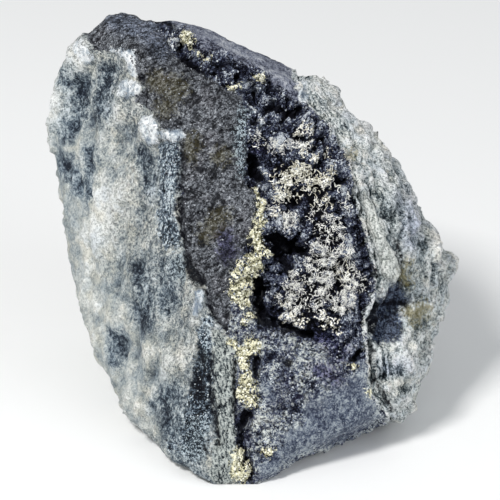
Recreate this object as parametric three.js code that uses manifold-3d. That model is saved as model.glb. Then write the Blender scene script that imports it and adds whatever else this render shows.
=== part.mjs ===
// Silver ore: one hand-sized lump broken out of a vein, in millimetres, +Z up, on a flat broken base.
//
// The lump is a single stone. A vein of dark silver ore crosses it from front to back, between two walls of
// pale host rock. It is shaped in the frame of its broken front face, which leans back from upright:
//   across  from the stone's left edge to its right edge
//   up      along the face, from the stone's lowest edge
//   out     towards a person who looks straight at the face
// and is then stood up, cut flat underneath and centred on its base.
//
// Every point of the surface is found along a ray that leaves a small egg inside the stone, square to the
// egg: the ray runs out until it meets the nearest broken face, the relief of the front, or the wall that
// the outline sweeps backwards.

import * as THREE from "three";
import { ImprovedNoise } from "three/addons/math/ImprovedNoise.js";
import { mergeVertices } from "three/addons/utils/BufferGeometryUtils.js";
import Module from "manifold-3d";

// ---- driving dimensions ----

const LEAN = THREE.MathUtils.degToRad(25); // how far the front face leans back
const HEART = new THREE.Vector3(35, 41, -24); // the middle of the egg, in face coordinates
const EGG = new THREE.Vector3(19, 24, 9); // the half widths of the egg
const REACH = 60; // longer than any ray inside the stone
const DETAIL = 21; // subdivisions of the icosahedron that becomes the egg
const FRONT_DENSITY = 0.25; // how strongly the rays crowd towards the front
const BASE_HEIGHT = 0.6; // how much of the lowest corner the flat base takes off

const WALL_TAPER = 0.004; // share of the outline lost for each millimetre behind the rim
const RIM_ROUND = 0.0016; // share lost for each square millimetre in front of the rim
const RIM_ROUND_MOST = 0.06; // and the most that is lost there

// The rim, where the stone is widest when seen from the front, as its corners: [across, up, out].
const RIM = [
  // the foot and the lower left, where the face runs back to the rim
  [29, 1.5, -1], [24.5, 4.5, -7], [21, 6, -10], [18.5, 10, -15], [15, 12.5, -18], [9.5, 21, -25],
  // the pale left side
  [5.5, 31.5, -29], [3, 45, -31], [1, 57, -31], [0, 63, -31], [0.5, 66, -30], [2.5, 71, -27],
  [4.5, 75.5, -23], [8, 76.5, -20],
  // the top: the slab's crown, a notch and the long smooth ridge
  [12, 80.5, -20], [14.5, 80.5, -20], [16.5, 79, -19], [20, 80, -18], [28, 78, -19],
  [37, 73.5, -21], [40.5, 72.5, -21], [43, 70, -20],
  // the pale right side, in steps
  [46.5, 70, -21], [50, 67.5, -22], [51.5, 64, -21], [54.5, 60.5, -20], [57.5, 59.5, -21],
  [62, 52.5, -20], [65, 45, -21], [70, 39, -24], [70, 37.5, -24], [68.5, 36, -23], [69, 32, -23],
  [66.5, 27, -22], [64.5, 18.5, -20], [62.5, 13, -19],
  // the sloping underside
  [59.5, 11, -18], [56.5, 11, -17], [48, 7, -13], [43, 6, -9], [38.5, 2, -5], [34, 1.5, -3],
];

// Broken faces that slope back from the front, each through three points [across, up, out].
const FRONT_FACES = {
  leftWall: [[25, 45, 1.5], [27, 2, -0.5], [0, 58, -30.5]],
  slab: [[25, 60, 0.5], [25, 40, 1.5], [40, 42, 2.5]],
  slabShoulder: [[20, 66, -0.5], [34, 67, 0], [24, 73, -5]],
  slabCrown: [[16, 73.5, -5], [30, 72.5, -5], [22, 80.5, -18]],
  upperRight: [[34, 66, -1], [51, 57, -6], [42.5, 70.5, -14]],
  rightShoulder: [[54, 44, -1.5], [54, 30, -1], [61, 40, -6.5]],
  rightWall: [[62, 46, -8], [62, 26, -8], [70, 38, -23]],
  lowerVein: [[46, 25, 1], [60, 25, -6], [50, 8, -6.5]],
  frontFoot: [[30, 12, 1], [38, 12, 0.5], [33, 0, -1.5]],
};

// Broken faces of the back and the underside: which way they face and how far they lie from the heart.
// They are in the standing stone's own axes: x right, y back, z up.
const BACK_FACES = {
  back: { facing: [-0.12, 1, 0.1], distance: 22 },
  backUpper: { facing: [0.25, 0.8, 0.6], distance: 28 },
  backTop: { facing: [-0.25, 0.4, 0.9], distance: 44.5 },
  backLeft: { facing: [-0.85, 0.5, 0.1], distance: 41.5 },
  backRight: { facing: [0.85, 0.5, 0.08], distance: 30 },
  backFoot: { facing: [0.05, 0.85, -0.5], distance: 28 },
  leftFoot: { facing: [-0.85, 0.15, -0.5], distance: 33 },
  rightFoot: { facing: [0.8, 0.2, -0.55], distance: 34 },
};

// The lines across the front where one band of the stone meets the next: [across, up], from the top down.
const SLAB_EDGE = [
  [21, 80], [25, 71.5], [33, 66], [34, 57], [35, 50], [37, 47], [36.5, 39], [33, 34], [31.5, 26.5],
  [31, 1],
];
const VEIN_EDGE = [
  [42, 80], [42.5, 69], [47, 63], [50.5, 57], [52.5, 50], [53.5, 43.5], [55, 34], [53, 27], [54, 18],
  [58, 13], [59, 1],
];
const BAND_DEPTH = 1.8; // the open, wiry band of the vein lies this far below the slab beside it
const BAND_FLANK = 2.8; // and reaches that depth over this width
const BAND_FOOT = [20, 27]; // it rises between these heights to the massive vein below
const BAND_HEAD = [64, 70]; // and between these to the smooth ridge above

// Hollows in the front: oval pits by centre and half widths, and gullies along a line.
const PITS = [
  { at: [41.5, 41], half: [3, 2.5], depth: 3.6 },
  { at: [36, 55], half: [2, 2.2], depth: 2.8 },
  { at: [45, 59], half: [2.5, 2], depth: 2.2 },
  { at: [58, 30], half: [3.5, 5.5], depth: 3.2 },
];
const GULLIES = [
  { from: [23, 75], to: [34.5, 67.5], half: 2.2, depth: 2.6 },
  { from: [34.5, 67.5], to: [45.5, 62], half: 2.4, depth: 2.2 },
  { from: [36, 33.5], to: [47, 24.5], half: 2.1, depth: 3.4 },
  { from: [34, 13], to: [35, 3], half: 1.8, depth: 2 },
  { from: [8, 71], to: [6.5, 61], half: 2, depth: 2 },
  { from: [13, 46], to: [15.5, 24], half: 2.4, depth: 1.4 },
];

// Swellings of harder rock that stand above the broken faces, as ovals.
const SWELLS = [
  { at: [20, 61], half: [4.5, 3], height: 1.6 },
  { at: [5.5, 74], half: [4, 4.5], height: 1.4 },
  { at: [14, 68], half: [4.5, 6], height: 1.6 },
  { at: [57.5, 40.5], half: [3.5, 7.5], height: 1.8 },
  { at: [54, 22], half: [1.5, 6.5], height: 1.3 },
  { at: [60, 18.5], half: [4.5, 4.5], height: 1.5 },
];

// Roughness of the broken surface: a wave length and a height for each size of lump.
const LUMPS = [
  { wave: 17, height: 1.5 },
  { wave: 7, height: 0.7 },
  { wave: 3.4, height: 0.35 },
];
const RIM_CALM = 7; // within this depth of the rim, the lumps fade so that the outline keeps its line

// ---- helpers ----

const noise = new ImprovedNoise();
const across = new THREE.Vector3(1, 0, 0);
const up = new THREE.Vector3(0, Math.sin(LEAN), Math.cos(LEAN));
const out = new THREE.Vector3(0, -Math.cos(LEAN), Math.sin(LEAN));
const standing = new THREE.Matrix4().makeBasis(across, up, out); // face coordinates to the standing stone's
const { smoothstep, lerp } = THREE.MathUtils;

// Where a line given from the top down stands across the face at a height.
function acrossAt(line, height) {
  for (let i = 1; i < line.length; i++) {
    const [[a0, u0], [a1, u1]] = [line[i - 1], line[i]];
    if (height >= u1) return lerp(a1, a0, Math.min(1, (height - u1) / (u0 - u1)));
  }
  return line.at(-1)[0];
}

// The plane through three points, with its normal turned outwards.
function faceThrough(points) {
  const plane = new THREE.Plane().setFromCoplanarPoints(...points.map((p) => new THREE.Vector3(...p)));
  return plane.normal.z < 0 ? plane.negate() : plane;
}

const frontPlanes = Object.values(FRONT_FACES).map(faceThrough);
const backPlanes = Object.values(BACK_FACES).map(({ facing, distance }) => {
  const normal = new THREE.Vector3(...facing).normalize();
  normal.applyMatrix4(standing.clone().invert());
  const point = HEART.clone().addScaledVector(normal, distance);
  return new THREE.Plane().setFromNormalAndCoplanarPoint(normal, point);
});

// How far an oval's middle is from a place, as a share of its half widths.
const ovalShare = ({ at, half }, a, u) => Math.hypot((a - at[0]) / half[0], (u - at[1]) / half[1]);

// How far the front lies below its broken faces, at a place on it: its hollows less its swellings.
function sunk(a, u) {
  const inBand = smoothstep(a - acrossAt(SLAB_EDGE, u), 0, BAND_FLANK) *
    smoothstep(acrossAt(VEIN_EDGE, u) - a, 0, BAND_FLANK) *
    smoothstep(u, ...BAND_FOOT) * (1 - smoothstep(u, ...BAND_HEAD));
  let depth = BAND_DEPTH * inBand;
  for (const pit of PITS) depth += pit.depth * (1 - smoothstep(ovalShare(pit, a, u), 0.45, 1.25));
  for (const swell of SWELLS) depth -= swell.height * (1 - smoothstep(ovalShare(swell, a, u), 0.2, 1.2));
  for (const { from, to, half, depth: deep } of GULLIES) {
    const line = new THREE.Line3(new THREE.Vector3(...from, 0), new THREE.Vector3(...to, 0));
    const place = new THREE.Vector3(a, u, 0);
    const away = line.closestPointToPoint(place, true, new THREE.Vector3()).distanceTo(place);
    depth += deep * (1 - smoothstep(away, 0.4 * half, 1.6 * half));
  }
  return depth;
}

// The rim beyond a point, seen from the front: how far from the heart it lies and how far out.
function rimBeyond(point) {
  const [da, du] = [point.x - HEART.x, point.y - HEART.y];
  const spread = Math.hypot(da, du);
  let found = { spread, reach: 0, out: 0 };
  RIM.forEach(([a0, u0, o0], i) => {
    const [a1, u1, o1] = RIM[(i + 1) % RIM.length];
    const [ea, eu] = [a1 - a0, u1 - u0];
    const turn = (da * eu - du * ea) / spread;
    const reach = ((a0 - HEART.x) * eu - (u0 - HEART.y) * ea) / turn;
    const share = ((a0 - HEART.x) * du - (u0 - HEART.y) * da) / (spread * turn);
    if (share >= 0 && share <= 1 && reach > found.reach) found = { spread, reach, out: lerp(o0, o1, share) };
  });
  return found;
}

function inside(point) {
  const rim = rimBeyond(point);
  const behind = rim.out - point.z;
  const lost = behind > 0 ? WALL_TAPER * behind : Math.min(RIM_ROUND_MOST, RIM_ROUND * behind * behind);
  if (rim.spread > rim.reach * (1 - lost)) return false;
  if (backPlanes.some((plane) => plane.distanceToPoint(point) > 0)) return false;
  const raised = point.clone();
  raised.z += sunk(point.x, point.y);
  return frontPlanes.every((plane) => plane.distanceToPoint(raised) < 0);
}

// The lumps of the broken surface at a point, calmer beside the rim.
function lumps(point) {
  const calm = lerp(0.25, 1, smoothstep(Math.abs(point.z - rimBeyond(point).out), 0, RIM_CALM));
  return LUMPS.reduce((sum, { wave, height }) => {
    const { x, y, z } = point.clone().divideScalar(wave);
    return sum + height * calm * noise.noise(x, y, z + wave);
  }, 0);
}

// The surface point on the ray that leaves the egg in a place of the unit ball.
function surfacePoint(place) {
  const start = place.clone().multiply(EGG).add(HEART);
  const ray = place.clone().divide(EGG).normalize();
  let [near, far] = [0, REACH];
  while (far - near > 0.01) {
    const middle = (near + far) / 2;
    if (inside(start.clone().addScaledVector(ray, middle))) near = middle;
    else far = middle;
  }
  const point = start.addScaledVector(ray, near);
  return point.addScaledVector(ray, lumps(point));
}

// ---- the stone ----

// A closed ball, its points crowded towards the front, run out to the surface and stood up.
function roughStone() {
  const ball = new THREE.IcosahedronGeometry(1, DETAIL);
  ball.deleteAttribute("normal");
  ball.deleteAttribute("uv");
  const merged = mergeVertices(ball, 1e-4);
  const places = merged.getAttribute("position");
  for (let i = 0; i < places.count; i++) {
    const place = new THREE.Vector3().fromBufferAttribute(places, i);
    place.z += FRONT_DENSITY;
    const point = surfacePoint(place.normalize()).applyMatrix4(standing);
    places.setXYZ(i, point.x, point.y, point.z);
  }
  return merged;
}

const wasm = await Module();
wasm.setup();

function solidOf(geometry) {
  const merged = mergeVertices(geometry, 1e-4);
  return new wasm.Manifold(new wasm.Mesh({
    numProp: 3,
    vertProperties: merged.getAttribute("position").array,
    triVerts: new Uint32Array(merged.index.array),
  }));
}

function geometryOf(solid) {
  const mesh = solid.getMesh();
  return new THREE.BufferGeometry()
    .setAttribute("position", new THREE.BufferAttribute(mesh.vertProperties, 3))
    .setIndex(new THREE.BufferAttribute(mesh.triVerts, 1));
}

// Cuts the stone flat underneath and sets the middle of its base at the origin.
function onFlatBase(stone) {
  const ground = new THREE.BoxGeometry(300, 300, 100).translate(0, 0, BASE_HEIGHT - 50);
  ground.deleteAttribute("normal");
  ground.deleteAttribute("uv");
  const cut = geometryOf(solidOf(stone).subtract(solidOf(ground)));
  cut.computeBoundingBox();
  const middle = cut.boundingBox.getCenter(new THREE.Vector3());
  return cut.translate(-middle.x, -middle.y, -cut.boundingBox.min.z);
}

const ore = new THREE.Mesh(
  onFlatBase(roughStone()),
  new THREE.MeshStandardMaterial({ color: 0x8b9096, roughness: 0.85, metalness: 0.05, flatShading: true }),
);
ore.name = "ore_stone";

const group = new THREE.Group();
group.add(ore);

export default group;
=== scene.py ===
# %% [markdown]
# # A lump of silver ore
# This lesson dresses one broken stone: a dark vein with wiry native silver, held between two walls of
# pale host rock. The solid model gives the stone's size and its big broken faces. Here it gets its fine
# relief, its loose grains, its wires of silver and its colours.
#
# Everything is measured in the stone's own broken face, which leans back from upright. A place on it is
# given in millimetres as *across* (from the left edge), *up* (along the face) and *out* (towards a person
# who looks straight at it). Two small functions turn such places into scene positions and back.

# %% Load the frame
import itertools
import math

import bmesh
import bpy
import numpy as np
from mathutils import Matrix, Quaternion, Vector, noise


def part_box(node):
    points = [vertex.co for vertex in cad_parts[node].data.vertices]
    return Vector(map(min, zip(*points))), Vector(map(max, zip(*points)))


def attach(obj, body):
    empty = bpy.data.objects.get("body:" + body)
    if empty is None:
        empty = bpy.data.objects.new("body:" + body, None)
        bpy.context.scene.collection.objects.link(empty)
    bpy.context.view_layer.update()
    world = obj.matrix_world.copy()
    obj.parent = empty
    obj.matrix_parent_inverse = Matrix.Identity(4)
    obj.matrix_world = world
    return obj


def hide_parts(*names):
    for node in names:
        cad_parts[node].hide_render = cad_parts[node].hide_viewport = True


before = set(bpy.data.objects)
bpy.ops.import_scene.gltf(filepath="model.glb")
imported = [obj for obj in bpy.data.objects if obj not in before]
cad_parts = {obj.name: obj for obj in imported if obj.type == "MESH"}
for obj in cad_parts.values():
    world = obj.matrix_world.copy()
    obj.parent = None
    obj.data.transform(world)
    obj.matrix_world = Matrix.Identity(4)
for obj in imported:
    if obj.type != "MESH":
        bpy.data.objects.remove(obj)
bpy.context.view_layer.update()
MM = 0.001

# %% The face frame
# The zero of the face lies this many mm left of, in front of and below the left front foot of the box.
ZERO_OFFSET = np.array([0.1, 1.9, 0.6])
LEAN = math.radians(25)
ACROSS = np.array([1, 0, 0])
UP = np.array([0, math.sin(LEAN), math.cos(LEAN)])
OUT = np.array([0, -math.cos(LEAN), math.sin(LEAN)])
FACE_ZERO = np.array(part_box("ore_stone")[0]) - ZERO_OFFSET * MM


def from_face(across, up, out):
    return Vector(FACE_ZERO + (ACROSS * across + UP * up + OUT * out) * MM)


def to_face(points):
    return (points - FACE_ZERO) @ np.array([ACROSS, UP, OUT]).T / MM


# %% [markdown]
# ## Camera
# A stone in a collector's picture is taken with a long lens, which keeps its faces square. The camera
# looks straight at the broken face, so it sits 25 degrees above the floor. A lens of 300 mm needs a
# distance of eight and a third times the width it shows.

# %% Camera
VIEW_WIDTH = 85.0
# The camera aims at this place, a little behind the face, in mm.
AIM_ACROSS = 35.1
AIM_UP = 40.6
AIM_OUT = -23.0
LENS = 300.0
SENSOR = 36.0
STAND_OFF = VIEW_WIDTH * LENS / SENSOR

camera = bpy.data.objects.new("camera", bpy.data.cameras.new("camera"))
camera.data.lens = LENS
camera.data.sensor_width = SENSOR
camera.data.clip_start = 0.05
bpy.context.scene.collection.objects.link(camera)
camera.location = from_face(AIM_ACROSS, AIM_UP, AIM_OUT + STAND_OFF)
camera.rotation_mode = "QUATERNION"
camera.rotation_quaternion = Vector(-OUT).to_track_quat("-Z", "Y")
bpy.context.scene.camera = camera
print("camera stands off, mm:", round(STAND_OFF))

# %% [markdown]
# ## Floor and light
# A plain pale floor, a soft lamp high on the left, a broader and weaker one on the right, and an even sky.
# Dark hollows need the lamps to be stronger than the sky, because the sky reaches into every hole.

# %% Floor and light
bpy.ops.mesh.primitive_plane_add(size=3.0)
floor = bpy.context.object
floor.name = "floor"
floor_finish = bpy.data.materials.new("pale_floor")
floor_finish.use_nodes = True
floor_shader = floor_finish.node_tree.nodes["Principled BSDF"]
floor_shader.inputs["Base Color"].default_value = (0.93, 0.93, 0.93, 1)
floor_shader.inputs["Roughness"].default_value = 0.9
floor.data.materials.append(floor_finish)

sky = bpy.data.worlds.new("studio_sky")
bpy.context.scene.world = sky
sky.use_nodes = True
glow = sky.node_tree.nodes["Background"]
glow.inputs["Color"].default_value = (0.95, 0.98, 1.0, 1)
glow.inputs["Strength"].default_value = 0.45


def lamp(name, place, size, power, colour):
    """A square lamp that points at the middle of the floor, with its size in metres and power in watts."""
    light = bpy.data.lights.new(name, "AREA")
    light.size = size
    light.energy = power
    light.color = colour
    holder = bpy.data.objects.new(name, light)
    bpy.context.scene.collection.objects.link(holder)
    holder.location = place
    holder.rotation_mode = "QUATERNION"
    holder.rotation_quaternion = (-Vector(place)).to_track_quat("-Z", "Y")


lamp("key", place=(-0.27, -0.42, 0.60), size=0.16, power=4.6, colour=(1.0, 0.99, 0.97))
lamp("fill", place=(0.55, -0.45, 0.35), size=0.40, power=1.5, colour=(0.93, 0.96, 1.0))
bpy.context.scene.view_settings.view_transform = "Standard"
print("lamps, watts:", [round(light.energy, 1) for light in bpy.data.lights])

# %% [markdown]
# ## The map of the face
# The stone is made of bands that cross the face from top to bottom, so a line that says how far across
# it stands at each height is enough to part two bands. Two more lines run from left to right. They part
# the ridge above and the massive ore below from the open band of the vein. A smaller form, such as a hole,
# a crust or a lobe, is a string of beads: each bead has a place and a half width, and the string tapers
# from bead to bead. One bead is a spot, two are a streak, and more can bend. It takes few numbers, all of
# them easy to read off a ruler and to change.

# %% Lines between the bands
HOST_LINE = [
    (8, 76.5), (9.5, 74), (15.5, 73.5), (16.5, 70), (17.5, 67.5), (16, 65.5), (19.5, 63.5), (21, 60.5),
    (23.5, 60), (24, 50), (23.5, 46), (24.5, 40), (26, 36.5), (28, 34.5), (28, 31.5), (31.5, 26.5),
    (32.5, 20), (32, 12), (33, 0),
]
SLAB_LINE = [
    (18.5, 80), (20, 77), (22, 73), (27, 69.5), (33, 66), (34.5, 63), (34.5, 57), (34, 52), (36, 49.5),
    (36, 46), (35, 42), (33, 38), (32, 33), (31.5, 26.5), (32.5, 20), (32, 12), (33, 0),
]
VEIN_LINE = [
    (42, 72), (42.5, 67.5), (47, 62.5), (50.5, 56.5), (52.5, 49), (54, 43), (55, 39), (55.5, 35.5),
    (55, 32.5), (54, 30), (53.5, 27), (54.5, 21), (54.5, 17), (57.5, 13.5), (59, 0),
]
RIDGE_LINE = [
    (15, 80.5), (19.5, 80), (23, 78), (26, 75.5), (30, 73.5), (34, 71.5), (38, 69.5), (42, 66), (46, 63),
]
GULLY_LINE = [(35.5, 35), (36.5, 30), (40, 28.5), (45, 26), (50, 23), (56, 22)]

# %% Measuring on the map
FAR_OUTSIDE = -9.0


def ease(value, low, high):
    """A soft step: 0 up to the low value and 1 from the high value on, with a smooth rise between."""
    share = np.clip((value - low) / (high - low), 0, 1)
    return share * share * (3 - 2 * share)


def beside(line, across, up):
    """How far to the right of a line each place lies, where the line runs from the top down."""
    heights = [place[1] for place in reversed(line)]
    return across - np.interp(up, heights, [place[0] for place in reversed(line)])


def above(line, across, up):
    """How far above a line each place lies, where the line runs from left to right."""
    return up - np.interp(across, [place[0] for place in line], [place[1] for place in line])


def within(string, across, up):
    """How deep inside a string of beads each place lies, in mm, and below zero outside it."""
    deepest = np.full(len(across), FAR_OUTSIDE)
    for (a0, u0, half0), (a1, u1, half1) in zip(string, string[1:] or string):
        run = max((a1 - a0) ** 2 + (u1 - u0) ** 2, 0.001)
        share = np.clip(((across - a0) * (a1 - a0) + (up - u0) * (u1 - u0)) / run, 0, 1)
        away = np.hypot(across - a0 - share * (a1 - a0), up - u0 - share * (u1 - u0))
        deepest = np.maximum(deepest, half0 + share * (half1 - half0) - away)
    return deepest


# %% [markdown]
# ## A finer skin
# The solid model has broad facets two millimetres long. A voxel remesh turns a copy of it into small even
# squares, two smoothing passes melt the facets away, and the front is then cut finer than the back,
# because that is where the silver and the crystals are. The copy is merged first: the solid's triangles
# are loose, and a remesh needs a closed surface.

# %% A finer skin
VOXEL = 1.5
MERGE = 0.001
SMOOTHING_PASSES = 2
stone = bpy.data.objects.new("ore_skin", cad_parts["ore_stone"].data.copy())
bpy.context.scene.collection.objects.link(stone)
stone.data.materials.clear()


def edit(piece, work):
    """Runs some bmesh work on a piece's mesh and puts the result back."""
    shape = bmesh.new()
    shape.from_mesh(piece.data)
    work(shape)
    shape.to_mesh(piece.data)
    shape.free()
    piece.data.update()


def finished(piece):
    """The piece's mesh with its modifiers applied."""
    bpy.context.view_layer.update()
    made = bpy.data.meshes.new_from_object(piece.evaluated_get(bpy.context.evaluated_depsgraph_get()))
    piece.modifiers.clear()
    piece.data = made


edit(stone, lambda shape: bmesh.ops.remove_doubles(shape, verts=shape.verts, dist=MERGE * MM))
remesh = stone.modifiers.new("small squares", "REMESH")
remesh.mode = "VOXEL"
remesh.voxel_size = VOXEL * MM
finished(stone)


def smooth(shape):
    """Smooths all but the flat foot, which has to stay on the floor."""
    for _ in range(SMOOTHING_PASSES):
        bmesh.ops.smooth_vert(
            shape, verts=[v for v in shape.verts if v.co.z > VOXEL * MM], factor=0.5,
            use_axis_x=True, use_axis_y=True, use_axis_z=True)


edit(stone, smooth)

# %% Cutting the front finer
FRONT_LIMIT = -14


def cut_finer(chosen):
    """Halves the edges of the faces whose middle and normal, in face terms, are chosen."""
    def work(shape):
        shape.normal_update()
        middles = to_face(np.array([face.calc_center_median() for face in shape.faces]))
        facing = np.array([face.normal for face in shape.faces]) @ OUT
        picked = chosen(*middles.T, facing)
        edges = [edge for face, take in zip(shape.faces, picked) if take for edge in face.edges]
        bmesh.ops.subdivide_edges(
            shape, edges=list(dict.fromkeys(edges)), cuts=1, use_grid_fill=True)
        print("faces in the skin:", len(shape.faces))
    return work


def centre(across, up, out, facing):
    """Faces of the middle of the front, from just left of the slab to the inner part of the right wall."""
    return (facing > 0.1) & (out > FRONT_LIMIT) & (beside(HOST_LINE, across, up) > -5) & (
        beside(VEIN_LINE, across, up) < 9)


def open_band(across, up, out, facing):
    """Faces of the open band of the vein, where the silver is."""
    return (facing > 0.05) & (out > FRONT_LIMIT) & (beside(SLAB_LINE, across, up) > 0) & (
        beside(VEIN_LINE, across, up) < 0.5) & (above(GULLY_LINE, across, up) > -1) & (
        above(RIDGE_LINE, across, up) < 0)


edit(stone, cut_finer(lambda across, up, out, facing: facing > -0.1))
edit(stone, cut_finer(centre))
edit(stone, cut_finer(open_band))
edit(stone, lambda shape: bmesh.ops.triangulate(shape, faces=shape.faces))
print("triangles in the skin:", len(stone.data.polygons))

# %% Points of the skin
count = len(stone.data.vertices)
places = np.empty(count * 3)
stone.data.vertices.foreach_get("co", places)
places = places.reshape(-1, 3)
normals = np.empty(count * 3)
stone.data.vertex_normals.foreach_get("vector", normals)
normals = normals.reshape(-1, 3)
across, up, out = to_face(places).T
front = ease(normals @ OUT, -0.1, 0.3)
print("points in the skin:", count)

# %% Patterns of broken rock
# The chips repeat after this many cells each way, and the tilt says how steeply one may lean.
CHIP_CELLS = 64
CHIP_TILT = 0.45


def field(wave, stretch=(1, 1, 1), seed=0, turn=0.0):
    """Smooth noise from -1 to 1 at every point, with lumps about as long as the wave, in mm."""
    cosine, sine = math.cos(math.radians(turn)), math.sin(math.radians(turn))
    turned = (across * cosine + up * sine, up * cosine - across * sine, out)
    scaled = (np.array(turned).T / np.array(stretch)) / wave + seed * 17.3
    return np.array([noise.noise(place) for place in scaled.tolist()])


def ridges(wave, **how):
    """Noise folded at zero, which gives sharp crests and round valleys, from 0 to 1."""
    return 1 - 2 * np.abs(field(wave, **how))


def knobs(wave, **how):
    """The same fold turned over, which gives round knobs parted by sharp valleys."""
    return 2 * np.abs(field(wave, **how))


def chips(wave, stretch=(1, 1, 1), seed=0):
    """Flat chips: space is split round scattered middles, and each chip has its own height and tilt."""
    scaled = np.array([across / stretch[0], up / stretch[1], out / stretch[2]]).T / wave
    drawn = np.random.default_rng(seed).uniform(-1, 1, (CHIP_CELLS, CHIP_CELLS, CHIP_CELLS, 7))
    nearest = np.full(count, np.inf)
    heights = np.empty(count)
    for step in itertools.product((-1, 0, 1), repeat=3):
        cell = np.floor(scaled).astype(int) + step
        own = drawn[tuple((cell % CHIP_CELLS).T)]
        offset = scaled - cell - 0.5 - 0.5 * own[:, :3]
        distance = np.linalg.norm(offset, axis=1)
        tilted = CHIP_TILT * (np.sum(offset * own[:, 3:6], axis=1) + 0.5 * own[:, 6])
        heights = np.where(distance < nearest, tilted, heights)
        nearest = np.minimum(distance, nearest)
    return heights
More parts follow.
